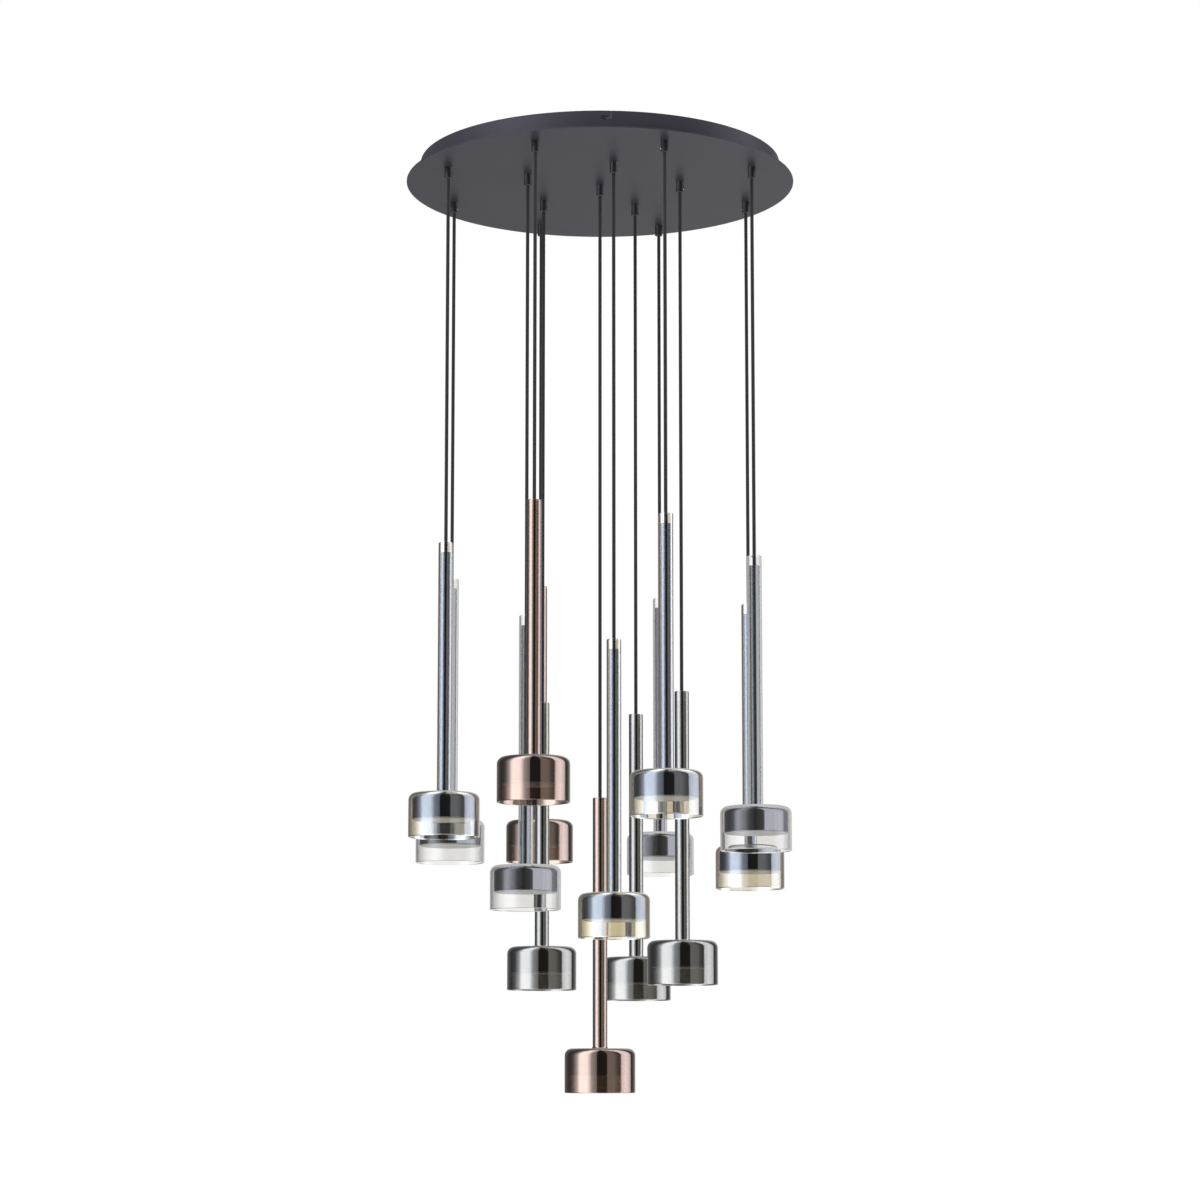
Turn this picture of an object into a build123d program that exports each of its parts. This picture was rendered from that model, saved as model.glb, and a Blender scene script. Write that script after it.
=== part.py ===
"""Cluster pendant: a round ceiling canopy that carries fourteen glass cylinder lamps on cords.

Everything is in millimetres. The origin is the centre of the ceiling bracket's face on the
ceiling, +Z points up, +X to the right of a viewer in front, and +Y away from that viewer.
Round pieces that repeat have flat facets in place of a round face, which keeps them light.
"""
from build123d import *
import math
import os

# --- canopy -----------------------------------------------------------------------------
PLATE_DIAMETER = 600.0
PLATE_THICKNESS = 2.0
SKIRT_DIAMETER = 557.0
CANOPY_HEIGHT = 32.0  # ceiling to the plate's underside
CEILING_GAP = 0.5  # left between the ceiling and the skirt's upper edge
SKIRT_WALL = 1.5

# --- bayonet slots and their side screws ----------------------------------------------------
SLOT_WIDTH = 3.4
SLOT_DEPTH = 12.0  # down from the skirt's upper edge
SLOT_REACH = 11.0  # sideways, from the entry to the seated screw
SCREW_SHANK_DIAMETER = 2.9
SCREW_HEAD_DIAMETER = 5.6
SCREW_HEAD_HEIGHT = 1.8
SCREW_INSIDE = 5.0  # of shank past the ear's inner face

# --- ceiling bracket --------------------------------------------------------------------
BRACKET_TURN = 1.0  # degrees between the front arm and the viewer's line of sight
ARM_LOADS = ("terminal block", "driver 1", "driver 2", "earth stud")  # from the arm at the right
ARM_WIDTH = 32.0
BRACKET_THICKNESS = 2.0
HUB_DIAMETER = 96.0
EAR_HEIGHT = 18.0
EAR_CLEARANCE = 0.3  # between an ear's corners and the inside of the skirt
CABLE_ENTRY_DIAMETER = 24.0
CEILING_HOLE_DIAMETER = 5.5
CEILING_HOLE_CIRCLE = 160.0

# --- electrical pieces inside the canopy ------------------------------------------------------
DRIVER_LENGTH = 150.0
DRIVER_WIDTH = 42.0
DRIVER_HEIGHT = 20.0
DRIVER_CORNER = 4.0
DRIVER_TO_SCREW = 1.2  # from a driver's outer tab to the end of a side screw
TAB_LENGTH = 11.0
TAB_WIDTH = 20.0
TAB_HEIGHT = 3.0
DRIVER_SCREW_DIAMETER = 3.5
DRIVER_SCREW_HEAD = 6.5
DRIVER_SCREW_HEAD_HEIGHT = 2.0
TERMINAL_PLACE = 150.0  # from the canopy's axis to the terminal block's middle
TERMINAL_LENGTH = 44.0
TERMINAL_WIDTH = 17.0
TERMINAL_HEIGHT = 15.0
TERMINAL_WAYS = 4
TERMINAL_HOLE_DIAMETER = 4.0
EARTH_PLACE = 150.0
EARTH_STUD_DIAMETER = 4.0
EARTH_STUD_LENGTH = 12.0  # down from the bracket's underside
EARTH_NUT_FLATS = 7.0
EARTH_NUT_HEIGHT = 3.2
HOLE_CLEARANCE = 0.1  # all round, between a screw or stud and its hole

# --- cord grips ---------------------------------------------------------------------------
GRIP_TO_SKIRT = 27.0  # from the axes of the outer grips to the inside of the skirt
GRIP_DIAMETER = 12.0
GRIP_HEIGHT = 17.0
GRIP_NECK_DIAMETER = 10.0
GRIP_NECK_HEIGHT = 4.5  # above the plate's upper face
NECK_CLEARANCE = 0.1  # all round, in the plate's hole and in the nut
NUT_FLATS = 14.0
NUT_HEIGHT = 3.0

# --- cords ------------------------------------------------------------------------------
CORD_DIAMETER = 5.3
CORD_ENTRY = 2.0  # how far a cord's end reaches into its grip and into its lamp tube
CORD_CLEARANCE = 0.3  # all round, so that the cord can lean in its bore

# --- pendants: glass ----------------------------------------------------------------------
SHADE_DIAMETER = 106.0
SHADE_HEIGHT = 66.0
SHADE_WALL = 3.0
SHOULDER_RADIUS = 10.7
SHOULDER_BANDS = 2
INNER_SHOULDER = 5.0
STEM_DIAMETER = 22.0
STEM_WALL = 2.5
STEM_LENGTH = 376.0

# --- pendants: lamp, which is the tube, the seat for the glass, the can and the diffuser ---------
TUBE_DIAMETER = 15.0
TUBE_WALL = 1.0
TUBE_BELOW_RIM = 15.0  # from the top of the glass stem down to the top of the tube
TUBE_COLLAR = 6.0  # the length at the tube's top that is narrowed to guide the cord
SEAT_DIAMETER = 20.0
SEAT_HEIGHT = 1.6
CAN_DIAMETER = 94.0
CAN_HEIGHT = 34.0
CAN_SHOULDER = 6.0
CAN_WALL = 2.0
DIFFUSER_LAP = 0.5  # all round, of the diffuser over the can's rim
DIFFUSER_THICKNESS = 2.0

# --- facets round the pieces that repeat ------------------------------------------------------
SHADE_SIDES = 32
CAN_SIDES = 24
STEM_SIDES = 16  # also round the barrel of a cord grip
ROD_SIDES = 12  # cords, lamp tubes, screws and every hole for one of them

# --- where the pendants hang, and how far each hangs down ---------------------------------------
INNER_CIRCLE = 250.0  # pitch circle of the inner ring
INNER_START = 63.5  # degrees, the first of five
OUTER_START = 22.5  # degrees, the first of eight
INNER_DROPS = {"i": 815.0, "f": 800.0, "c": 685.0, "h": 730.0, "l": 795.0}
OUTER_DROPS = {"m": 645.0, "j": 615.0, "e": 595.0, "b": 605.0, "a": 580.0, "d": 540.0, "k": 560.0,
               "n": 600.0}
CENTRE_DROP = {"g": 955.0}  # a drop runs from the plate's underside to the top of a glass stem

# --- sizes that follow ------------------------------------------------------------------
PLATE_UNDER = -CANOPY_HEIGHT
PLATE_TOP = PLATE_UNDER + PLATE_THICKNESS
SKIRT_TOP = -CEILING_GAP
SKIRT_OUTSIDE = SKIRT_DIAMETER / 2
SKIRT_INSIDE = SKIRT_OUTSIDE - SKIRT_WALL
OUTER_CIRCLE = 2 * (SKIRT_INSIDE - GRIP_TO_SKIRT)
EAR_OUTSIDE = math.sqrt((SKIRT_INSIDE - EAR_CLEARANCE) ** 2 - (ARM_WIDTH / 2) ** 2)
BRACKET_UNDER = -BRACKET_THICKNESS
SCREW_LEVEL = SKIRT_TOP - SLOT_DEPTH + SLOT_WIDTH / 2
SCREW_END = EAR_OUTSIDE - BRACKET_THICKNESS - SCREW_INSIDE
DRIVER_PLACE = SCREW_END - DRIVER_TO_SCREW - TAB_LENGTH - DRIVER_LENGTH / 2
GRIP_MOUTH = PLATE_UNDER - GRIP_HEIGHT
CORD_BORE = CORD_DIAMETER + 2 * CORD_CLEARANCE
SHADE_TOP = -STEM_LENGTH  # from here on, heights are measured down from the top of a glass stem
SHADE_RIM = SHADE_TOP - SHADE_HEIGHT
STEM_BORE = STEM_DIAMETER - 2 * STEM_WALL
TUBE_TOP = -TUBE_BELOW_RIM
SEAT_TOP = SHADE_TOP - SHADE_WALL
CAN_TOP = SEAT_TOP - SEAT_HEIGHT
CAN_BOTTOM = CAN_TOP - CAN_HEIGHT
CAN_BORE = CAN_DIAMETER - 2 * CAN_WALL


def rod(radius, bottom, top):
    """An upright round rod on the axis."""
    return Pos(0, 0, bottom) * Cylinder(radius, top - bottom, align=(Align.CENTER, Align.CENTER, Align.MIN))


def faceted(sides, radius, bottom, top, top_radius=None):
    """An upright rod on the axis with flat facets, or a cone where its top has its own radius."""
    base = Plane.XY.offset(bottom) * RegularPolygon(radius, sides)
    if top_radius is None:
        return extrude(base, top - bottom)
    drawn_in = (radius - top_radius) * math.cos(math.pi / sides)  # at the middle of a facet
    return extrude(base, top - bottom, taper=math.degrees(math.atan(drawn_in / (top - bottom))))


def block(length, width, bottom, top):
    """An upright block centred on the axis."""
    return Pos(0, 0, bottom) * Box(length, width, top - bottom,
                                   align=(Align.CENTER, Align.CENTER, Align.MIN))


def hex_nut(flats, bore, bottom, height):
    """A hexagonal nut with a plain bore, on the axis."""
    nut = extrude(Plane.XY.offset(bottom) * RegularPolygon(flats / 2, 6, major_radius=False), height)
    return nut - faceted(ROD_SIDES, bore / 2, bottom, bottom + height)


def arm_angles():
    """Directions of the bracket's arms, starting with the one at the right."""
    return [BRACKET_TURN + number * 360 / len(ARM_LOADS) for number in range(len(ARM_LOADS))]


def on_arm(load, radius):
    """The place under the arm that carries this load, at a distance from the canopy's axis."""
    return Rot(0, 0, arm_angles()[ARM_LOADS.index(load)]) * Pos(radius, 0, BRACKET_UNDER)


def ring_places(names, circle, start):
    """Name to (x, y) for pendants spaced evenly round a pitch circle."""
    places = {}
    for number, name in enumerate(names):
        angle = math.radians(start + number * 360 / len(names))
        places[name] = (circle / 2 * math.cos(angle), circle / 2 * math.sin(angle))
    return places


DROPS = {**INNER_DROPS, **OUTER_DROPS, **CENTRE_DROP}
PLACES = {**ring_places(INNER_DROPS, INNER_CIRCLE, INNER_START),
          **ring_places(OUTER_DROPS, OUTER_CIRCLE, OUTER_START),
          **ring_places(CENTRE_DROP, 0.0, 0.0)}


def canopy_plate():
    """The round cover plate, with a hole for the neck of each cord grip."""
    plate = rod(PLATE_DIAMETER / 2, PLATE_UNDER, PLATE_TOP)
    hole = faceted(ROD_SIDES, GRIP_NECK_DIAMETER / 2 + NECK_CLEARANCE, PLATE_UNDER, PLATE_TOP)
    return plate - [Pos(x, y) * hole for x, y in PLACES.values()]


def canopy_skirt():
    """The inset wall welded on the plate, with one L-shaped bayonet slot for each arm."""
    wall = rod(SKIRT_OUTSIDE, PLATE_TOP, SKIRT_TOP) - rod(SKIRT_INSIDE, PLATE_TOP, SKIRT_TOP)
    cut_depth = 4 * SKIRT_WALL
    entry = Pos(SKIRT_OUTSIDE, SLOT_REACH, SKIRT_TOP - SLOT_DEPTH) * Box(
        cut_depth, SLOT_WIDTH, 2 * SLOT_DEPTH, align=(Align.CENTER, Align.CENTER, Align.MIN))
    leg = Pos(SKIRT_OUTSIDE, SLOT_REACH / 2, SCREW_LEVEL) * Box(
        cut_depth, SLOT_REACH + SLOT_WIDTH, SLOT_WIDTH)
    slot = entry + leg
    return wall - [Rot(0, 0, angle) * slot for angle in arm_angles()]


def driver_screw_places():
    """Where each screw that holds a driver enters the bracket."""
    reach = (DRIVER_LENGTH + TAB_LENGTH) / 2
    return [on_arm(load, DRIVER_PLACE + side * reach) for load in ("driver 1", "driver 2")
            for side in (-1, 1)]


def ceiling_bracket():
    """The pressed cross that screws to the ceiling, with a threaded ear at the end of each arm."""
    bar = Pos(EAR_OUTSIDE / 2, 0) * block(EAR_OUTSIDE, ARM_WIDTH, BRACKET_UNDER, 0)
    ear = Pos(EAR_OUTSIDE - BRACKET_THICKNESS / 2, 0) * block(BRACKET_THICKNESS, ARM_WIDTH, -EAR_HEIGHT, 0)
    thread = Pos(SCREW_END, 0, SCREW_LEVEL) * Rot(0, 90, 0) * faceted(
        ROD_SIDES, SCREW_SHANK_DIAMETER / 2 + HOLE_CLEARANCE, 0, EAR_OUTSIDE - SCREW_END)
    arm = bar + ear - thread - Pos(CEILING_HOLE_CIRCLE / 2, 0) * rod(
        CEILING_HOLE_DIAMETER / 2, BRACKET_UNDER, 0)
    bracket = rod(HUB_DIAMETER / 2, BRACKET_UNDER, 0)
    bracket += [Rot(0, 0, angle) * arm for angle in arm_angles()]
    screw_hole = faceted(ROD_SIDES, DRIVER_SCREW_DIAMETER / 2 + HOLE_CLEARANCE, 0, BRACKET_THICKNESS)
    stud_hole = faceted(ROD_SIDES, EARTH_STUD_DIAMETER / 2 + HOLE_CLEARANCE, 0, BRACKET_THICKNESS)
    cuts = [place * screw_hole for place in driver_screw_places()]
    cuts.append(on_arm("earth stud", EARTH_PLACE) * stud_hole)
    cuts.append(rod(CABLE_ENTRY_DIAMETER / 2, BRACKET_UNDER, 0))
    return bracket - cuts


def side_screws():
    """The screws that stand out of the ears and hold the canopy in its bayonet slots."""
    shank = faceted(ROD_SIDES, SCREW_SHANK_DIAMETER / 2, SCREW_END, SKIRT_OUTSIDE)
    head = faceted(ROD_SIDES, SCREW_HEAD_DIAMETER / 2, SKIRT_OUTSIDE, SKIRT_OUTSIDE + SCREW_HEAD_HEIGHT)
    screw = Pos(0, 0, SCREW_LEVEL) * Rot(0, 90, 0) * (shank + head)
    return Compound([Rot(0, 0, angle) * screw for angle in arm_angles()])


def led_driver(load):
    """A slim driver with a screw tab at each end, hung under one arm of the bracket."""
    body = extrude(RectangleRounded(DRIVER_LENGTH, DRIVER_WIDTH, DRIVER_CORNER), -DRIVER_HEIGHT)
    tabs = block(DRIVER_LENGTH + 2 * TAB_LENGTH, TAB_WIDTH, -TAB_HEIGHT, 0)
    reach = (DRIVER_LENGTH + TAB_LENGTH) / 2
    hole = faceted(ROD_SIDES, DRIVER_SCREW_DIAMETER / 2 + HOLE_CLEARANCE, -TAB_HEIGHT, 0)
    driver = (body + tabs) - [Pos(side * reach, 0) * hole for side in (-1, 1)]
    return on_arm(load, DRIVER_PLACE) * driver


def driver_screws():
    """The pan-head screws that pass up through the driver tabs into the bracket."""
    head_end = -TAB_HEIGHT - DRIVER_SCREW_HEAD_HEIGHT
    shank = faceted(ROD_SIDES, DRIVER_SCREW_DIAMETER / 2, -TAB_HEIGHT, BRACKET_THICKNESS)
    head = faceted(ROD_SIDES, DRIVER_SCREW_HEAD / 2, head_end, -TAB_HEIGHT)
    return Compound([place * (shank + head) for place in driver_screw_places()])


def terminal_block():
    """The mains terminal block, with a wire hole right through it for each way."""
    body = block(TERMINAL_LENGTH, TERMINAL_WIDTH, -TERMINAL_HEIGHT, 0)
    pitch = TERMINAL_LENGTH / TERMINAL_WAYS
    bore = Pos(0, TERMINAL_WIDTH / 2, -TERMINAL_HEIGHT / 2) * Rot(90, 0, 0) * faceted(
        ROD_SIDES, TERMINAL_HOLE_DIAMETER / 2, 0, TERMINAL_WIDTH)
    offsets = [(way - (TERMINAL_WAYS - 1) / 2) * pitch for way in range(TERMINAL_WAYS)]
    return on_arm("terminal block", TERMINAL_PLACE) * (body - [Pos(x, 0) * bore for x in offsets])


def earth_stud():
    """The earthing stud pressed into the bracket."""
    return on_arm("earth stud", EARTH_PLACE) * faceted(
        ROD_SIDES, EARTH_STUD_DIAMETER / 2, -EARTH_STUD_LENGTH, BRACKET_THICKNESS)


def earth_nut():
    """The nut that clamps the earth lead under the bracket."""
    return on_arm("earth stud", EARTH_PLACE) * hex_nut(
        EARTH_NUT_FLATS, EARTH_STUD_DIAMETER + 2 * HOLE_CLEARANCE, -EARTH_NUT_HEIGHT, EARTH_NUT_HEIGHT)


def cord_grips():
    """The grips under the plate: a barrel, a neck through the plate and a bore for the cord."""
    neck_top = PLATE_TOP + GRIP_NECK_HEIGHT
    barrel = faceted(STEM_SIDES, GRIP_DIAMETER / 2, GRIP_MOUTH, PLATE_UNDER)
    neck = faceted(ROD_SIDES, GRIP_NECK_DIAMETER / 2, PLATE_UNDER, neck_top)
    grip = barrel + neck - faceted(ROD_SIDES, CORD_BORE / 2, GRIP_MOUTH, neck_top)
    return Compound([Pos(x, y) * grip for x, y in PLACES.values()])


def grip_nuts():
    """The lock nuts on the necks of the grips, inside the canopy."""
    nut = hex_nut(NUT_FLATS, GRIP_NECK_DIAMETER + 2 * NECK_CLEARANCE, PLATE_TOP, NUT_HEIGHT)
    return Compound([Pos(x, y) * nut for x, y in PLACES.values()])


def cord(drop):
    """A straight cord from inside its grip to inside its lamp tube, at the canopy's axis."""
    bottom = PLATE_UNDER - drop + TUBE_TOP - CORD_ENTRY
    return faceted(ROD_SIDES, CORD_DIAMETER / 2, bottom, GRIP_MOUTH + CORD_ENTRY)


def shoulder_bands():
    """The rounded shoulder of a glass, as flat bands round a quarter circle."""
    angles = [math.pi / 2 * band / SHOULDER_BANDS for band in range(SHOULDER_BANDS + 1)]
    centre = SHADE_DIAMETER / 2 - SHOULDER_RADIUS
    level = SHADE_TOP - SHOULDER_RADIUS
    rings = [(centre + SHOULDER_RADIUS * math.sin(angle), level + SHOULDER_RADIUS * math.cos(angle))
             for angle in angles]
    return [faceted(SHADE_SIDES, lower_radius, lower, upper, upper_radius)
            for (upper_radius, upper), (lower_radius, lower) in zip(rings, rings[1:])]


def glass():
    """The blown glass: a long neck, a shoulder and a cylinder shade that is open below."""
    shade = SHADE_DIAMETER / 2
    inside = shade - SHADE_WALL
    inner_level = SEAT_TOP - INNER_SHOULDER
    outer_form = faceted(STEM_SIDES, STEM_DIAMETER / 2, SHADE_TOP, 0)
    outer_form += faceted(SHADE_SIDES, shade, SHADE_RIM, SHADE_TOP - SHOULDER_RADIUS)
    outer_form += shoulder_bands()
    hollow = faceted(STEM_SIDES, STEM_BORE / 2, SEAT_TOP, 0)
    hollow += faceted(SHADE_SIDES, inside, SHADE_RIM, inner_level)
    hollow += faceted(SHADE_SIDES, inside, inner_level, SEAT_TOP, inside - INNER_SHOULDER)
    return outer_form - hollow


def lamp():
    """The metal lamp: a tube up the glass neck, the seat that the glass rests on and the can."""
    can = CAN_DIAMETER / 2
    shoulder_level = CAN_TOP - CAN_SHOULDER
    collar_level = TUBE_TOP - TUBE_COLLAR
    body = faceted(ROD_SIDES, TUBE_DIAMETER / 2, SEAT_TOP, TUBE_TOP)
    body += faceted(ROD_SIDES, SEAT_DIAMETER / 2, CAN_TOP, SEAT_TOP)
    body += faceted(CAN_SIDES, can, shoulder_level, CAN_TOP, can - CAN_SHOULDER)
    body += faceted(CAN_SIDES, can, CAN_BOTTOM, shoulder_level)
    body -= faceted(ROD_SIDES, CORD_BORE / 2, collar_level, TUBE_TOP)
    body -= faceted(ROD_SIDES, TUBE_DIAMETER / 2 - TUBE_WALL, shoulder_level, collar_level)
    body -= faceted(CAN_SIDES, CAN_BORE / 2, CAN_BOTTOM, shoulder_level)
    diffuser = faceted(CAN_SIDES, CAN_BORE / 2 + DIFFUSER_LAP, CAN_BOTTOM - DIFFUSER_THICKNESS, CAN_BOTTOM)
    return Compound([body, diffuser])


def save(node, shape):
    export_step(shape if isinstance(shape, Compound) else Compound([shape]), f"parts/{node}.step")


def main():
    os.makedirs("parts", exist_ok=True)
    save("canopy_plate", canopy_plate())
    save("canopy_skirt", canopy_skirt())
    save("ceiling_bracket", ceiling_bracket())
    save("side_screws", side_screws())
    save("led_driver_1", led_driver("driver 1"))
    save("led_driver_2", led_driver("driver 2"))
    save("driver_screws", driver_screws())
    save("terminal_block", terminal_block())
    save("earth_stud", earth_stud())
    save("earth_nut", earth_nut())
    save("cord_grips", cord_grips())
    save("grip_nuts", grip_nuts())
    one_glass = glass()
    one_lamp = lamp()
    for name, (x, y) in PLACES.items():
        hang = Pos(x, y, PLATE_UNDER - DROPS[name])
        save(f"cord_{name}", Pos(x, y) * cord(DROPS[name]))
        save(f"glass_{name}", hang * one_glass)
        save(f"lamp_{name}", hang * one_lamp)


main()
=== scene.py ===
"""Cluster pendant: surfaces, glass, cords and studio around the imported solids. Metres."""
import bmesh
import bpy
import math
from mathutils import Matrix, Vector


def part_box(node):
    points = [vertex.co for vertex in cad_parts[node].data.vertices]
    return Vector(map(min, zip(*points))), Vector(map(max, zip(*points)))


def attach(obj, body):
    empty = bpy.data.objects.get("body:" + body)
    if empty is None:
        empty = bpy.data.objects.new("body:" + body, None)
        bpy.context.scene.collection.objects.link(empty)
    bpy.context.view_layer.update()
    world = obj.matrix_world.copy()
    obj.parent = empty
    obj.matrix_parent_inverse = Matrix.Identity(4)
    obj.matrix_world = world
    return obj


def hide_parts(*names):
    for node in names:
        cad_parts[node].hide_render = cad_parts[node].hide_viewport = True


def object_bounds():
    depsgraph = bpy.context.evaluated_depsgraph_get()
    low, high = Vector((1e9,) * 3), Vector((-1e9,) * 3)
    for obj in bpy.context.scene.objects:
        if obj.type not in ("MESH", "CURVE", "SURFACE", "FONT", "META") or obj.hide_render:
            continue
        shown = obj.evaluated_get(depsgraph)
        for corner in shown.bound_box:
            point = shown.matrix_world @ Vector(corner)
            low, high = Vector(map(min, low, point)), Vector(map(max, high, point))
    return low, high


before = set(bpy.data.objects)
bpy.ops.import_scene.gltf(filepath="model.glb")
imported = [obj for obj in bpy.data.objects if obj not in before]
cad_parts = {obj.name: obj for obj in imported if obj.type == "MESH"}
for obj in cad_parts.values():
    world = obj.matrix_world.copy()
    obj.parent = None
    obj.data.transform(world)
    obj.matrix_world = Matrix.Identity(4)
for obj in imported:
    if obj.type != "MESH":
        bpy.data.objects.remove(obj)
cad_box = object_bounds()

# --- camera -------------------------------------------------------------------------------------
IMAGE_SIDE = 1200.0  # pixels, of the photograph's frame
SENSOR = 36.0
FOCAL_PIXELS = 3081.4
CAMERA_SHIFT = 0.045
CAMERA_DISTANCE = 4.65
CAMERA_HEIGHT = -1.3948
CAMERA_PITCH = 7.687  # degrees upwards
CAMERA_REACH = 200.0

# --- pendants, measured down from the top of a glass stem ---------------------------------------
FINISHES = {"a": "champagne", "h": "champagne", "k": "champagne", "m": "champagne",
            "b": "clear", "c": "clear", "j": "clear", "n": "clear",
            "d": "copper", "e": "copper", "g": "copper",
            "f": "smoke", "i": "smoke", "l": "smoke"}
PALE_SHADE = "h"
STEM_RADIUS = 0.011
STEM_WALL = 0.0025
STEM_FILLET = 0.0035  # where the stem meets the shade
SHADE_TOP = -0.376
SHADE_RIM = -0.442
SHADE_RADIUS = 0.053
SHADE_WALL = 0.003
SHOULDER_RADIUS = 0.0107
THROAT_RADIUS = 0.001
TUBE_TOP = -0.015
TUBE_RADIUS = 0.0075
TUBE_WALL = 0.001
TUBE_COLLAR = 0.006
TUBE_BORE = 0.00295
SEAT_TOP = SHADE_TOP - SHADE_WALL
SEAT_RADIUS = 0.010
CAN_TOP = -0.3806
CAN_BOTTOM = -0.4146
CAN_RADIUS = 0.047
CAN_SHOULDER = 0.006
CAN_WALL = 0.002
DIFFUSER_RADIUS = 0.0455
DIFFUSER_BOTTOM = -0.4166
EDGE = 0.0004  # rounding of a machined edge

# --- cords, grips and plate -------------------------------------------------------------------
CORD_DIAMETER = 0.0053
GRIP_RADIUS = 0.006
GRIP_NECK_RADIUS = 0.005
SET_SCREW_RADIUS = 0.0012
SET_SCREW_PROUD = 0.0004  # its face, out of the grip's side; its hollow ends as far inside
SET_SCREW_ROUNDING = 0.0003
SET_SCREW_HOLLOW = 0.55  # of the screw's radius
SET_SCREW_ABOVE_MOUTH = 0.0045
SET_SCREW_SIDES = {"m": 180.0, "k": 200.0, "l": -20.0, "b": -15.0}  # degrees about the cord
USUAL_SET_SCREW_SIDE = 150.0
PLATE_THICKNESS = 0.002
PLATE_ROUNDING = 0.0006

# --- fineness of the round forms ----------------------------------------------------------------
SHADE_STEPS = 96
ROD_STEPS = 40
CORD_STEPS = 24
SCREW_STEPS = 20
CANOPY_STEPS = 180
SCREW_ARC_STEPS = 4
ARC_STEPS = 6  # of a small rounding
FILLET_STEPS = 8
LIP_STEPS = 10
WIDE_ARC_STEPS = 12
SHOULDER_STEPS = 16
AXIS_TOLERANCE = 1e-7  # a point nearer than this to the axis is on it
LARGE_FACE_WEIGHT = 100  # the most that a large face can count for in the normals


# --- forms ----------------------------------------------------------------------------------
def arc(radius_at, level, radius, start, end, steps=ARC_STEPS):
    """Points of an outline on an arc, with angles in degrees from outward towards up."""
    angles = [math.radians(start + (end - start) * step / steps) for step in range(steps + 1)]
    return [(radius_at + radius * math.cos(angle), level + radius * math.sin(angle)) for angle in angles]


def lathe(name, outline, steps):
    """A closed outline of (radius, level) turned about its own upright axis."""
    mesh = bpy.data.meshes.new(name)
    work = bmesh.new()
    rings = []
    for radius, level in outline:
        if radius < AXIS_TOLERANCE:
            rings.append([work.verts.new((0, 0, level))] * steps)
            continue
        rings.append([work.verts.new((radius * math.cos(2 * math.pi * step / steps),
                                      radius * math.sin(2 * math.pi * step / steps), level))
                      for step in range(steps)])
    for ring, following in zip(rings, rings[1:] + rings[:1]):
        for step in range(steps):
            after = (step + 1) % steps
            corners = [ring[step], ring[after], following[after], following[step]]
            distinct = list(dict.fromkeys(corners))
            if len(distinct) > 2:
                work.faces.new(distinct)
    bmesh.ops.recalc_face_normals(work, faces=work.faces)
    for face in work.faces:
        face.smooth = True
    work.to_mesh(mesh)
    work.free()
    return mesh


def turned_piece(name, outline, steps, place, material):
    """A turned piece at its place, with normals that keep its flat faces flat."""
    mesh = lathe(name, outline, steps)
    mesh.materials.append(material)
    thing = bpy.data.objects.new(name, mesh)
    bpy.context.scene.collection.objects.link(thing)
    thing.location = place
    weights = thing.modifiers.new("weights", "WEIGHTED_NORMAL")
    weights.weight = LARGE_FACE_WEIGHT
    weights.keep_sharp = True
    thing.visible_glossy = False  # the photograph shows no pendant reflected in another
    return thing


def top_middle(node_name):
    """The middle of the upper face of a node's box."""
    low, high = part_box(node_name)
    return (low.x + high.x) / 2, (low.y + high.y) / 2, high.z


# --- shader nodes -----------------------------------------------------------------------------
def new_material(name):
    """A material with one Principled shader; gives the material, its tree and the shader."""
    material = bpy.data.materials.new(name)
    material.use_nodes = True
    tree = material.node_tree
    return material, tree, tree.nodes["Principled BSDF"]


def feed(tree, socket, value):
    """Links a socket to a value that comes from a node, or sets it to a plain one."""
    if isinstance(value, bpy.types.NodeSocket):
        tree.links.new(value, socket)
    else:
        socket.default_value = value


def node(tree, kind, **inputs):
    """A node of that kind, with its named inputs fed; i0, i1 and i2 name an input by its number."""
    made = tree.nodes.new(kind)
    for key, value in inputs.items():
        numbered = key[0] == "i" and key[1:].isdigit()
        feed(tree, made.inputs[int(key[1:])] if numbered else made.inputs[key], value)
    return made


def calc(tree, operation, *values):
    """The output of a Math node."""
    made = tree.nodes.new("ShaderNodeMath")
    made.operation = operation
    for socket, value in zip(made.inputs, values):
        feed(tree, socket, value)
    return made.outputs[0]


def mixed(tree, share, first, second):
    """A colour between two."""
    made = tree.nodes.new("ShaderNodeMix")
    made.data_type = "RGBA"
    feed(tree, made.inputs["Factor"], share)
    colours = [socket for socket in made.inputs if socket.type == "RGBA"]
    for socket, colour in zip(colours, (first, second)):
        feed(tree, socket, colour)
    return next(output for output in made.outputs if output.type == "RGBA")


def noise(tree, scale, detail=4.0, stretch=(1, 1, 1)):
    """A noise over the object's own coordinates, in metres."""
    place = node(tree, "ShaderNodeTexCoord")
    mapping = node(tree, "ShaderNodeMapping", Vector=place.outputs["Object"], Scale=stretch)
    return node(tree, "ShaderNodeTexNoise", Vector=mapping.outputs[0], Scale=scale,
                Detail=detail).outputs["Fac"]


def ramp(tree, value, stops):
    """A colour ramp with stops of (place, colour)."""
    made = node(tree, "ShaderNodeValToRGB", Fac=value)
    elements = made.color_ramp.elements
    while len(elements) < len(stops):
        elements.new(0.5)
    for element, (place, colour) in zip(elements, stops):
        element.position = place
        element.color = (*colour, 1.0)
    return made.outputs["Color"]


def spread_over(tree, value, **ends):
    """A value mapped from one range to another."""
    return node(tree, "ShaderNodeMapRange", Value=value, **ends).outputs[0]


def bump(tree, shader, height, distance):
    made = node(tree, "ShaderNodeBump", Height=height, Distance=distance)
    feed(tree, shader.inputs["Normal"], made.outputs[0])


def at_share(colour, share):
    """The same colour, lighter or darker."""
    return [channel * share for channel in colour]


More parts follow.
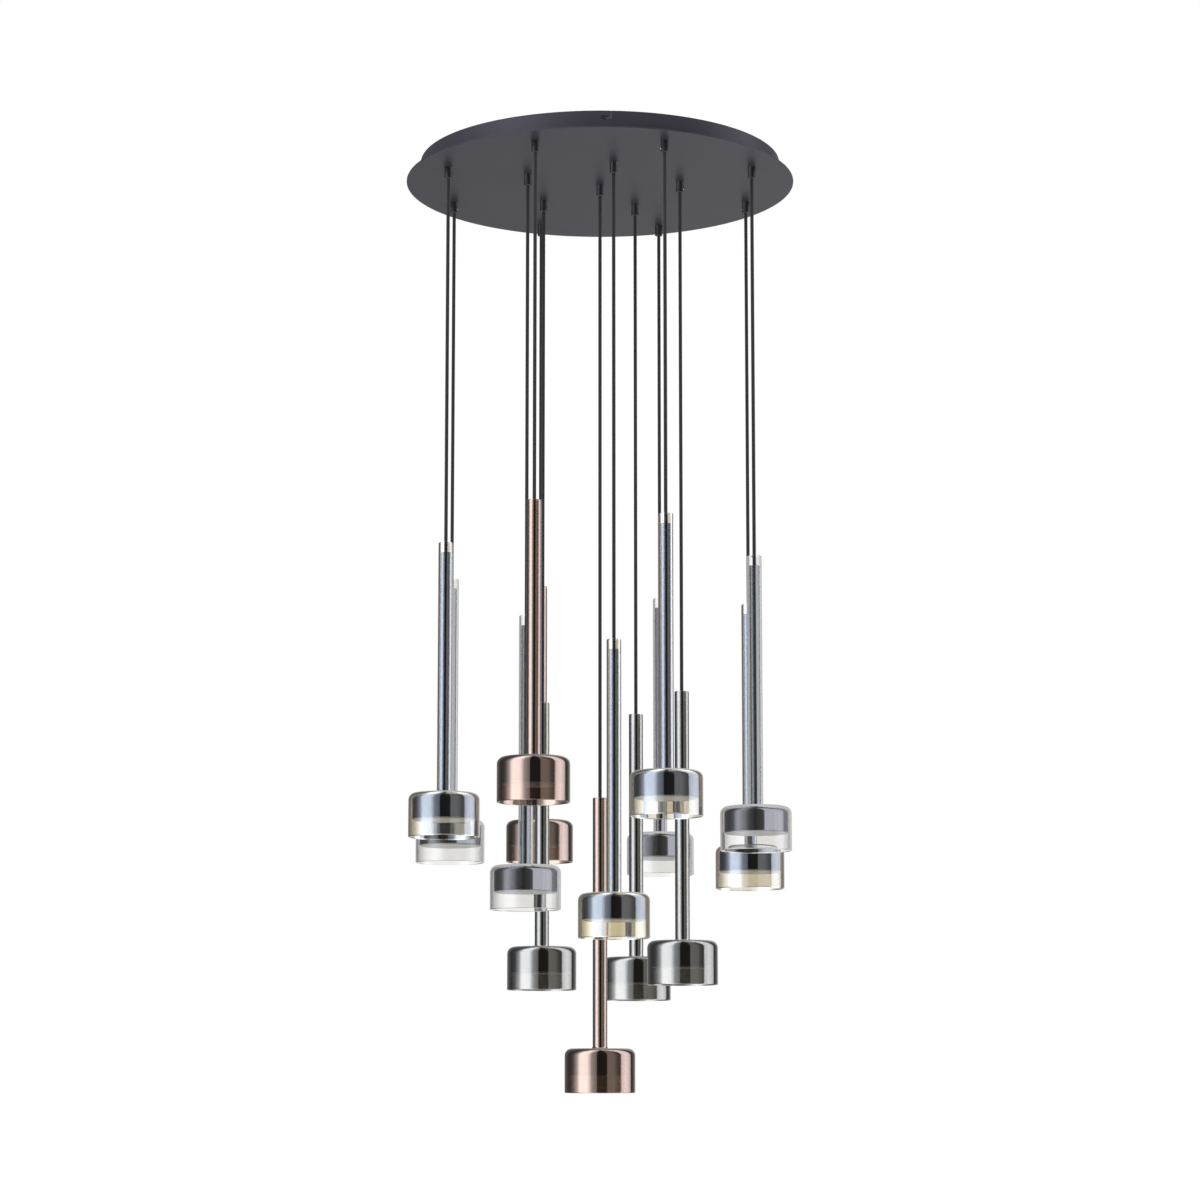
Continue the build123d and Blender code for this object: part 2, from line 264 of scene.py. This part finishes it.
# --- materials --------------------------------------------------------------------------------
EDGE_STARTS = 0.30  # the glass grows deeper in colour from here, by how far it is turned away
EDGE_FULL = 0.55
GLASS_CLOUD_SCALE = 9.0  # scales of noise are per metre
GLASS_CLOUD_STRETCH = (1, 1, 0.35)
POLISH_SCALE = 60.0
PAINT_PATCH_SCALE = 6.0
PAINT_PEEL_SCALE = 900.0
PLASTIC_PATCH_SCALE = 30.0
PLASTIC_GRAIN_SCALE = 1500.0
PLASTIC_GRAIN_DEPTH = 0.00002
PLASTIC_LIGHT_DEPTH = 0.002
FLOOR_PATCH_SCALE = 1.5
PLAIN_DETAIL = 2.0
PAINT_SHADES = (0.96, 1.04)
PLASTIC_SHADE = 0.96
PATCH_STARTS = 0.3  # of the noise's value, where one shade begins to turn into the other
PATCH_ENDS = 0.7
CLOUD_STARTS = 0.35
CLOUD_ENDS = 0.65
BRAID_STRANDS = 24
BRAID_PITCH = 0.0072
BRAID_WAVES = 3  # of each family, along one pitch
BRAID_DEPTH = 0.00008
# the braid's colour is painted darker in the grooves between strands and lighter on their crests: painted
# shade and painted highlight
BRAID_PAINTED_SHADE_AND_LIGHT = (0.85, 1.05)
BRAID_CREST_HIGHLIGHT_FROM = 0.75  # of a strand's height, from where its crest has its lightest painted highlight


def glass_material(name, tint, edge, ior, mirror, cloud, sheen=(1, 1, 1)):
    """Blown glass, deeper in colour where it is seen edge-on; a metallised finish has a higher index."""
    material, tree, shader = new_material(name)
    patches = noise(tree, GLASS_CLOUD_SCALE, PLAIN_DETAIL, GLASS_CLOUD_STRETCH)
    face_on = ramp(tree, patches, [(CLOUD_STARTS, at_share(tint, 1 - cloud)), (CLOUD_ENDS, tint)])
    facing = node(tree, "ShaderNodeLayerWeight", Blend=0.5).outputs["Facing"]
    depth = spread_over(tree, facing, **{"From Min": EDGE_STARTS, "From Max": EDGE_FULL})
    feed(tree, shader.inputs["Base Color"], mixed(tree, depth, face_on, (*edge, 1)))
    shader.inputs["Transmission Weight"].default_value = 1.0
    shader.inputs["Metallic"].default_value = mirror
    shader.inputs["Roughness"].default_value = 0.0
    shader.inputs["IOR"].default_value = ior
    shader.inputs["Specular Tint"].default_value = (*sheen, 1)
    return material


def metal_material(name, colour, roughness, grain):
    """Polished or plated metal with faint uneven polish."""
    material, tree, shader = new_material(name)
    shader.inputs["Base Color"].default_value = (*colour, 1)
    shader.inputs["Metallic"].default_value = 1.0
    ends = {"To Min": roughness * (1 - grain), "To Max": roughness * (1 + grain)}
    feed(tree, shader.inputs["Roughness"], spread_over(tree, noise(tree, POLISH_SCALE), **ends))
    return material


def paint_material(name, colour, roughness, specular, peel):
    """Sprayed satin paint: slight shade variation and fine orange peel."""
    material, tree, shader = new_material(name)
    dark, light = [at_share(colour, share) for share in PAINT_SHADES]
    patches = ramp(tree, noise(tree, PAINT_PATCH_SCALE), [(PATCH_STARTS, dark), (PATCH_ENDS, light)])
    feed(tree, shader.inputs["Base Color"], patches)
    shader.inputs["Roughness"].default_value = roughness
    shader.inputs["Specular IOR Level"].default_value = specular
    bump(tree, shader, noise(tree, PAINT_PEEL_SCALE, PLAIN_DETAIL), peel)
    return material


def textile_material(name, colour, roughness, specular, fuzz, fuzz_roughness):
    """A round braid: two families of strands that cross over each other, with painted shade in the grooves
    between them and a painted highlight on their crests.
    """
    material, tree, shader = new_material(name)
    place = node(tree, "ShaderNodeTexCoord").outputs["Object"]
    axes = node(tree, "ShaderNodeSeparateXYZ", Vector=place).outputs
    around = calc(tree, "MULTIPLY", calc(tree, "ARCTAN2", axes["Y"], axes["X"]), BRAID_STRANDS / 2)
    along = calc(tree, "MULTIPLY", axes["Z"], 2 * math.pi / BRAID_PITCH * BRAID_WAVES)
    one_way = calc(tree, "SINE", calc(tree, "ADD", around, along))
    other_way = calc(tree, "SINE", calc(tree, "SUBTRACT", around, along))
    height = calc(tree, "MAXIMUM", one_way, other_way)
    # painted shade low in the grooves, painted highlight high on the crests
    dark, light = [at_share(colour, share) for share in BRAID_PAINTED_SHADE_AND_LIGHT]
    feed(tree, shader.inputs["Base Color"], ramp(tree, height, [(0.0, dark), (BRAID_CREST_HIGHLIGHT_FROM, light)]))
    shader.inputs["Roughness"].default_value = roughness
    shader.inputs["Specular IOR Level"].default_value = specular
    shader.inputs["Sheen Weight"].default_value = fuzz
    shader.inputs["Sheen Roughness"].default_value = fuzz_roughness
    bump(tree, shader, height, BRAID_DEPTH)
    return material


def plastic_material(name, colour, roughness, soft=0.0):
    """Moulded plastic with a faint fine grain."""
    material, tree, shader = new_material(name)
    stops = [(PATCH_STARTS, at_share(colour, PLASTIC_SHADE)), (PATCH_ENDS, colour)]
    feed(tree, shader.inputs["Base Color"], ramp(tree, noise(tree, PLASTIC_PATCH_SCALE), stops))
    shader.inputs["Roughness"].default_value = roughness
    shader.inputs["Subsurface Weight"].default_value = soft
    shader.inputs["Subsurface Radius"].default_value = (PLASTIC_LIGHT_DEPTH,) * 3
    bump(tree, shader, noise(tree, PLASTIC_GRAIN_SCALE, PLAIN_DETAIL), PLASTIC_GRAIN_DEPTH)
    return material


PAINTS = {
    "canopy_paint": dict(colour=(0.043, 0.039, 0.053), roughness=0.42, specular=0.25, peel=0.000015),
    "black_metal": dict(colour=(0.014, 0.014, 0.019), roughness=0.38, specular=0.45, peel=0.00001)}
TEXTILES = {
    "black_textile": dict(colour=(0.026, 0.025, 0.026), roughness=0.85, specular=0.25, fuzz=0.25,
                          fuzz_roughness=0.5)}
METALS = {
    "dark_chrome": dict(colour=(0.30, 0.30, 0.315), roughness=0.07, grain=0.3),
    "black_chrome": dict(colour=(0.035, 0.035, 0.036), roughness=0.10, grain=0.3),
    "bright_steel": dict(colour=(0.80, 0.80, 0.82), roughness=0.12, grain=0.4),
    "zinc_steel": dict(colour=(0.62, 0.62, 0.60), roughness=0.38, grain=0.3),
    "dark_screw": dict(colour=(0.30, 0.30, 0.31), roughness=0.30, grain=0.3),
    "brass_earth": dict(colour=(0.72, 0.55, 0.26), roughness=0.25, grain=0.3)}
PLASTICS = {
    "driver_case": dict(colour=(0.80, 0.80, 0.78), roughness=0.45),
    "terminal_plastic": dict(colour=(0.72, 0.71, 0.66), roughness=0.40),
    "opal_diffuser": dict(colour=(0.90, 0.90, 0.88), roughness=0.35, soft=0.2)}
GLASSES = {
    "clear_glass": dict(tint=(0.905, 0.900, 0.885), edge=(0.72, 0.71, 0.70), ior=1.45, mirror=0.0,
                        cloud=0.004),
    "champagne_glass": dict(tint=(0.97, 0.93, 0.82), edge=(0.62, 0.55, 0.42), ior=2.45, mirror=0.0,
                            cloud=0.03, sheen=(0.80, 0.88, 1.0)),
    "champagne_pale": dict(tint=(0.99, 0.95, 0.76), edge=(0.66, 0.58, 0.42), ior=2.45, mirror=0.0,
                           cloud=0.03, sheen=(0.80, 0.88, 1.0)),
    "copper_glass": dict(tint=(0.58, 0.42, 0.33), edge=(0.16, 0.11, 0.08), ior=2.2, mirror=0.45,
                         cloud=0.05),
    "smoke_glass": dict(tint=(0.47, 0.455, 0.40), edge=(0.14, 0.13, 0.12), ior=2.3, mirror=0.33,
                        cloud=0.04)}
MATERIALS = {name: make(name, **values)
             for make, kinds in ((paint_material, PAINTS), (textile_material, TEXTILES),
                                 (metal_material, METALS), (plastic_material, PLASTICS),
                                 (glass_material, GLASSES))
             for name, values in kinds.items()}
CAD_FINISHES = {"canopy_skirt": "canopy_paint", "ceiling_bracket": "zinc_steel",
                "side_screws": "dark_screw", "led_driver_1": "driver_case",
                "led_driver_2": "driver_case", "driver_screws": "zinc_steel",
                "terminal_block": "terminal_plastic", "earth_stud": "brass_earth",
                "earth_nut": "brass_earth", "grip_nuts": "zinc_steel"}


def dress_cad():
    """Gives the solids that stay in view their materials."""
    for name, finish in CAD_FINISHES.items():
        for material_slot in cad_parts[name].material_slots:
            material_slot.material = MATERIALS[finish]


# --- pendants ---------------------------------------------------------------------------------
def glass_outline():
    """Stem, shoulder and shade in section: down the outside and up the inside."""
    lip = STEM_WALL / 2
    rim = SHADE_WALL / 2
    shoulder = SHADE_RADIUS - SHOULDER_RADIUS
    shoulder_level = SHADE_TOP - SHOULDER_RADIUS
    outline = arc(STEM_RADIUS - lip, -lip, lip, 180, 0, LIP_STEPS)
    outline += arc(STEM_RADIUS + STEM_FILLET, SHADE_TOP + STEM_FILLET, STEM_FILLET, 180, 270, FILLET_STEPS)
    outline += arc(shoulder, shoulder_level, SHOULDER_RADIUS, 90, 0, SHOULDER_STEPS)
    outline += arc(SHADE_RADIUS - rim, SHADE_RIM + rim, rim, 0, -180, WIDE_ARC_STEPS)
    outline += arc(shoulder, shoulder_level, SHOULDER_RADIUS - SHADE_WALL, 0, 90, WIDE_ARC_STEPS)
    outline += arc(STEM_RADIUS - STEM_WALL + THROAT_RADIUS, SEAT_TOP + THROAT_RADIUS, THROAT_RADIUS,
                   270, 180)
    return outline


def tube_outline():
    """The tube up the stem, with the collar at its top that guides the cord."""
    inner = TUBE_RADIUS - TUBE_WALL
    outline = arc(TUBE_RADIUS - EDGE, TUBE_TOP - EDGE, EDGE, 90, 0)
    outline += [(TUBE_RADIUS, SEAT_TOP), (inner, SEAT_TOP), (inner, TUBE_TOP - TUBE_COLLAR)]
    outline += [(TUBE_BORE, TUBE_TOP - TUBE_COLLAR)]
    outline += arc(TUBE_BORE + EDGE, TUBE_TOP - EDGE, EDGE, 180, 90)
    return outline


def seat_outline():
    """The disc between the can and the glass, with a full round edge."""
    middle = (SEAT_TOP + CAN_TOP) / 2
    half = (SEAT_TOP - CAN_TOP) / 2
    return [(0, SEAT_TOP)] + arc(SEAT_RADIUS - half, middle, half, 90, -90, FILLET_STEPS) + [(0, CAN_TOP)]


def can_outline():
    """The can's shell: closed above, open below behind the diffuser."""
    inner = CAN_RADIUS - CAN_WALL
    shoulder_level = CAN_TOP - CAN_SHOULDER
    outline = [(0, CAN_TOP)]
    outline += arc(CAN_RADIUS - CAN_SHOULDER, shoulder_level, CAN_SHOULDER, 90, 0, WIDE_ARC_STEPS)
    outline += arc(CAN_RADIUS - EDGE, CAN_BOTTOM + EDGE, EDGE, 0, -90)
    outline += arc(inner + EDGE, CAN_BOTTOM + EDGE, EDGE, -90, -180)
    return outline + [(inner, shoulder_level), (0, shoulder_level)]


def diffuser_outline():
    """The opal disc that closes the can."""
    outline = [(0, CAN_BOTTOM)] + arc(DIFFUSER_RADIUS - EDGE, CAN_BOTTOM - EDGE, EDGE, 90, 0)
    outline += arc(DIFFUSER_RADIUS - 2 * EDGE, DIFFUSER_BOTTOM + 2 * EDGE, 2 * EDGE, 0, -90)
    return outline + [(0, DIFFUSER_BOTTOM)]


def pendant_pieces(name):
    """Glass, tube, seat, can and diffuser of one pendant, on the body that tilts."""
    place = top_middle(f"glass_{name}")
    glass_slot = FINISHES[name] + "_glass"
    glass = "champagne_pale" if name == PALE_SHADE else glass_slot
    chrome = "dark_chrome" if FINISHES[name] == "clear" else "black_chrome"
    forms = [("shade", glass_outline(), SHADE_STEPS, glass, glass_slot, "glass"),
             ("lamp_tube", tube_outline(), ROD_STEPS, chrome, "dark_chrome", "lamp"),
             ("lamp_seat", seat_outline(), ROD_STEPS, "bright_steel", "dark_chrome", "lamp"),
             ("lamp_can", can_outline(), SHADE_STEPS, chrome, "dark_chrome", "lamp"),
             ("diffuser", diffuser_outline(), SHADE_STEPS, "opal_diffuser", "opal_diffuser", "lamp")]
    for form, outline, steps, finish, slot, replaced in forms:
        thing = turned_piece(f"{form}_{name}", outline, steps, place, MATERIALS[finish])
        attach(thing, f"pendant_{name}")
        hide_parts(f"{replaced}_{name}")


def cord_piece(name):
    """The straight textile cord from inside its grip to inside its lamp tube."""
    low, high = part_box(f"cord_{name}")
    place = top_middle(f"cord_{name}")
    length = high.z - low.z
    radius = CORD_DIAMETER / 2
    outline = [(0, 0), (radius, 0), (radius, -length), (0, -length)]
    cord = turned_piece(f"textile_cord_{name}", outline, CORD_STEPS, place, MATERIALS["black_textile"])
    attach(cord, f"hanging_cord_{name}")
    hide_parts(f"cord_{name}")


# --- canopy -----------------------------------------------------------------------------------
def canopy_plate():
    """The round plate, with a rolled rim."""
    low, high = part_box("canopy_plate")
    radius = (high.x - low.x) / 2 - PLATE_ROUNDING
    half = PLATE_THICKNESS / 2
    outline = [(0, half)] + arc(radius, half - PLATE_ROUNDING, PLATE_ROUNDING, 90, 0)
    outline += arc(radius, PLATE_ROUNDING - half, PLATE_ROUNDING, 0, -90) + [(0, -half)]
    plate = turned_piece("plate", outline, CANOPY_STEPS, (0, 0, low.z + half), MATERIALS["canopy_paint"])
    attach(plate, "canopy")
    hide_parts("canopy_plate")


def grip_outline(height, neck):
    """Barrel under the plate, from its mouth at 0, with the neck that goes through the plate."""
    edge = 2 * EDGE
    bore = CORD_DIAMETER / 2 + EDGE
    outline = arc(bore + EDGE, EDGE, EDGE, 180, 270)
    outline += arc(GRIP_RADIUS - edge, edge, edge, -90, 0)
    outline += [(GRIP_RADIUS, height), (GRIP_NECK_RADIUS, height)]
    outline += arc(GRIP_NECK_RADIUS - EDGE, height + neck - EDGE, EDGE, 0, 90)
    return outline + [(bore, height + neck)]


def grips():
    """The fourteen grips, each with its set screw low on its side."""
    low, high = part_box("cord_grips")
    plate_low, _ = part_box("canopy_plate")
    outline = grip_outline(plate_low.z - low.z, high.z - plate_low.z)
    for name in FINISHES:
        x, y, _ = top_middle(f"cord_{name}")
        mouth = (x, y, low.z)
        grip = turned_piece(f"grip_{name}", outline, ROD_STEPS, mouth, MATERIALS["black_metal"])
        grip.visible_glossy = True  # the satin plate mirrors the grips softly, as photographed
        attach(grip, "canopy")
        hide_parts("cord_grips")
        set_screw(name, mouth)


def set_screw(name, mouth):
    """A small socket screw: a rounded head with a hollow in it."""
    head = SET_SCREW_RADIUS
    hollow = SET_SCREW_HOLLOW * head
    outline = [(0, -head), (head, -head)]
    outline += arc(head - SET_SCREW_ROUNDING, SET_SCREW_PROUD - SET_SCREW_ROUNDING, SET_SCREW_ROUNDING,
                   0, 90, SCREW_ARC_STEPS)
    outline += [(hollow, SET_SCREW_PROUD), (hollow, -SET_SCREW_PROUD), (0, -SET_SCREW_PROUD)]
    side = math.radians(SET_SCREW_SIDES.get(name, USUAL_SET_SCREW_SIDE))
    place = (mouth[0] + GRIP_RADIUS * math.cos(side), mouth[1] + GRIP_RADIUS * math.sin(side),
             mouth[2] + SET_SCREW_ABOVE_MOUTH)
    screw = turned_piece(f"set_screw_{name}", outline, SCREW_STEPS, place, MATERIALS["bright_steel"])
    screw.rotation_euler = (0, math.pi / 2, side)
    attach(screw, "canopy")


# --- studio -----------------------------------------------------------------------------------
def room_stops(*stops):
    """Stops of (azimuth in degrees, strength, tint) as places and colours for a ramp."""
    return [((azimuth + 180) / 360, at_share(tint, level)) for azimuth, level, tint in stops]


WHITE = (1.0, 1.0, 1.0, 1.0)
NEUTRAL = (1.0, 1.0, 1.0)
COOL = (0.86, 0.90, 1.0)
LILAC = (0.89, 0.91, 1.0)
WARM = (1.0, 0.98, 0.95)
# azimuth 0 is in front of the object, and -90 to its left in the photograph
REFLECTED_ROOM = room_stops(
    (-180, 0.22, NEUTRAL), (-165, 0.10, NEUTRAL), (-147, 0.09, NEUTRAL), (-123, 0.04, COOL),
    (-110, 0.045, COOL), (-99, 0.07, COOL), (-90, 0.17, COOL), (-80, 0.38, COOL), (-71, 0.95, COOL),
    (-62, 1.0, COOL), (-42, 0.95, COOL), (-28, 0.28, COOL), (-11, 0.13, COOL), (-9.5, 0.010, NEUTRAL),
    (23, 0.010, NEUTRAL), (24.5, 0.115, WARM), (47, 0.11, WARM), (60, 0.05, WARM), (68, 0.03, NEUTRAL),
    (73, 0.03, LILAC), (74.5, 0.55, LILAC), (84, 0.66, LILAC), (98, 0.80, LILAC), (110, 0.72, LILAC),
    (118.5, 0.62, LILAC), (120, 0.05, NEUTRAL), (130, 0.05, NEUTRAL), (147, 0.12, NEUTRAL),
    (160, 0.28, NEUTRAL), (172, 0.30, NEUTRAL), (179.9, 0.22, NEUTRAL))
ROOM_AT_CAN = room_stops(
    (-180, 0.06, NEUTRAL), (-118, 0.05, NEUTRAL), (-92, 0.07, COOL), (-72, 0.34, COOL),
    (-54, 0.10, COOL), (-40, 0.02, COOL), (-14, 0.02, NEUTRAL), (20, 0.07, NEUTRAL), (27, 0.08, NEUTRAL),
    (28.5, 0.62, LILAC), (72, 0.66, LILAC), (104, 0.46, LILAC), (118, 0.12, LILAC), (142, 0.05, NEUTRAL),
    (179.9, 0.05, NEUTRAL))
# a ray off an inner wall leaves unbent, because reflected rays don't see the glass: this times its
# azimuth stands for the bend on the way out
INNER_WALL_SPREAD = 1.43
PANEL_STRENGTH = 2.6
AMBIENT = 0.70
KEY_PLACE = (-2.6, -2.4, 0.2)
KEY_POWER = 60.0
FILL_PLACE = (2.8, -1.6, -1.0)
FILL_POWER = 20.0
LAMP_SIDE = 2.0
FLOOR_LEVEL = -2.6
FLOOR_REACH = 40.0
FLOOR_SHADES = (0.93, 0.95)
FLOOR_ROUGHNESS = 0.9
FLOOR_SPECULAR = 0.1
FLOOR_GLOW = 0.45  # so that the floor meets the white behind it


def reflected_room(tree, path):
    """What a reflection sees: one room, spread out for a glass's inner wall, and one for a can."""
    direction = node(tree, "ShaderNodeTexCoord").outputs["Generated"]
    axes = node(tree, "ShaderNodeSeparateXYZ", Vector=direction).outputs
    azimuth = calc(tree, "ARCTAN2", axes["X"], calc(tree, "MULTIPLY", axes["Y"], -1.0))
    spread = calc(tree, "MULTIPLY", azimuth, INNER_WALL_SPREAD)
    turn, spread_turn = [calc(tree, "ADD", calc(tree, "DIVIDE", angle, 2 * math.pi), 0.5)
                         for angle in (azimuth, spread)]
    walls = path["Transmission Depth"]  # faces of glass passed on the way to what reflects
    outside = mixed(tree, calc(tree, "GREATER_THAN", walls, 0.5), ramp(tree, turn, REFLECTED_ROOM),
                    ramp(tree, spread_turn, REFLECTED_ROOM))
    return mixed(tree, calc(tree, "GREATER_THAN", walls, 1.5), outside, ramp(tree, turn, ROOM_AT_CAN))


def studio_world():
    """White behind the object, even light on it, and soft panels for what is reflected."""
    world = bpy.data.worlds.new("studio")
    bpy.context.scene.world = world
    world.use_nodes = True
    tree = world.node_tree
    tree.nodes.clear()
    path = node(tree, "ShaderNodeLightPath").outputs
    even = node(tree, "ShaderNodeBackground", Color=WHITE, Strength=AMBIENT)
    panels = node(tree, "ShaderNodeBackground", Color=reflected_room(tree, path), Strength=PANEL_STRENGTH)
    white = node(tree, "ShaderNodeBackground", Color=WHITE, Strength=1.0)
    mirrored = calc(tree, "GREATER_THAN", path["Glossy Depth"], 0.5)
    scattered = calc(tree, "GREATER_THAN", path["Diffuse Depth"], 0.5)
    straight = calc(tree, "SUBTRACT", 1.0, calc(tree, "MAXIMUM", mirrored, scattered))
    seen = calc(tree, "MAXIMUM", path["Is Camera Ray"],
                calc(tree, "MULTIPLY", path["Is Transmission Ray"], straight))
    lit = node(tree, "ShaderNodeMixShader", Fac=mirrored, i1=even.outputs[0], i2=panels.outputs[0])
    shown = node(tree, "ShaderNodeMixShader", Fac=seen, i1=lit.outputs[0], i2=white.outputs[0])
    node(tree, "ShaderNodeOutputWorld", Surface=shown.outputs[0])


def lamp(name, place, power):
    """A square soft lamp aimed at the pendants, left out of reflections and of the view."""
    light = bpy.data.lights.new(name, "AREA")
    light.size = LAMP_SIDE
    light.energy = power
    thing = bpy.data.objects.new(name, light)
    bpy.context.scene.collection.objects.link(thing)
    thing.location = place
    middle = (cad_box[0] + cad_box[1]) / 2
    thing.rotation_euler = (middle - thing.location).to_track_quat("-Z", "Y").to_euler()
    thing.visible_camera = False
    thing.visible_glossy = False
    thing.visible_transmission = False


def floor_material():
    """Pale matt floor, with a glow for camera and transmission rays only."""
    material, tree, shader = new_material("floor")
    stops = [(place, (shade,) * 3) for place, shade in zip((PATCH_STARTS, PATCH_ENDS), FLOOR_SHADES)]
    feed(tree, shader.inputs["Base Color"], ramp(tree, noise(tree, FLOOR_PATCH_SCALE), stops))
    shader.inputs["Roughness"].default_value = FLOOR_ROUGHNESS
    shader.inputs["Specular IOR Level"].default_value = FLOOR_SPECULAR
    path = node(tree, "ShaderNodeLightPath").outputs
    shown = calc(tree, "MAXIMUM", path["Is Camera Ray"], path["Is Transmission Ray"])
    glow = node(tree, "ShaderNodeEmission", Color=WHITE, Strength=calc(tree, "MULTIPLY", shown, FLOOR_GLOW))
    both = node(tree, "ShaderNodeAddShader", i0=shader.outputs[0], i1=glow.outputs[0])
    feed(tree, tree.nodes["Material Output"].inputs["Surface"], both.outputs[0])
    return material


def floor():
    """One wide flat face under the object."""
    mesh = bpy.data.meshes.new("floor")
    corners = [(FLOOR_REACH * x, FLOOR_REACH * y, 0) for x, y in ((-1, -1), (1, -1), (1, 1), (-1, 1))]
    mesh.from_pydata(corners, [], [(0, 1, 2, 3)])
    mesh.materials.append(floor_material())
    ground = bpy.data.objects.new("floor", mesh)
    bpy.context.scene.collection.objects.link(ground)
    ground.location = (0, 0, FLOOR_LEVEL)
    ground.visible_glossy = False  # the room goes on below the horizon for what is reflected


def camera():
    data = bpy.data.cameras.new("camera")
    data.sensor_width = SENSOR
    data.lens = FOCAL_PIXELS * SENSOR / IMAGE_SIDE
    data.shift_y = CAMERA_SHIFT
    data.clip_end = CAMERA_REACH
    eye = bpy.data.objects.new("camera", data)
    bpy.context.scene.collection.objects.link(eye)
    eye.location = (0, -CAMERA_DISTANCE, CAMERA_HEIGHT)
    eye.rotation_euler = (math.radians(90 + CAMERA_PITCH), 0, 0)
    bpy.context.scene.camera = eye


camera()
for pendant in FINISHES:
    cord_piece(pendant)
    pendant_pieces(pendant)
canopy_plate()
grips()
dress_cad()
studio_world()
lamp("key", KEY_PLACE, KEY_POWER)
lamp("fill", FILL_PLACE, FILL_POWER)
floor()
bpy.context.scene.view_settings.view_transform = "Standard"
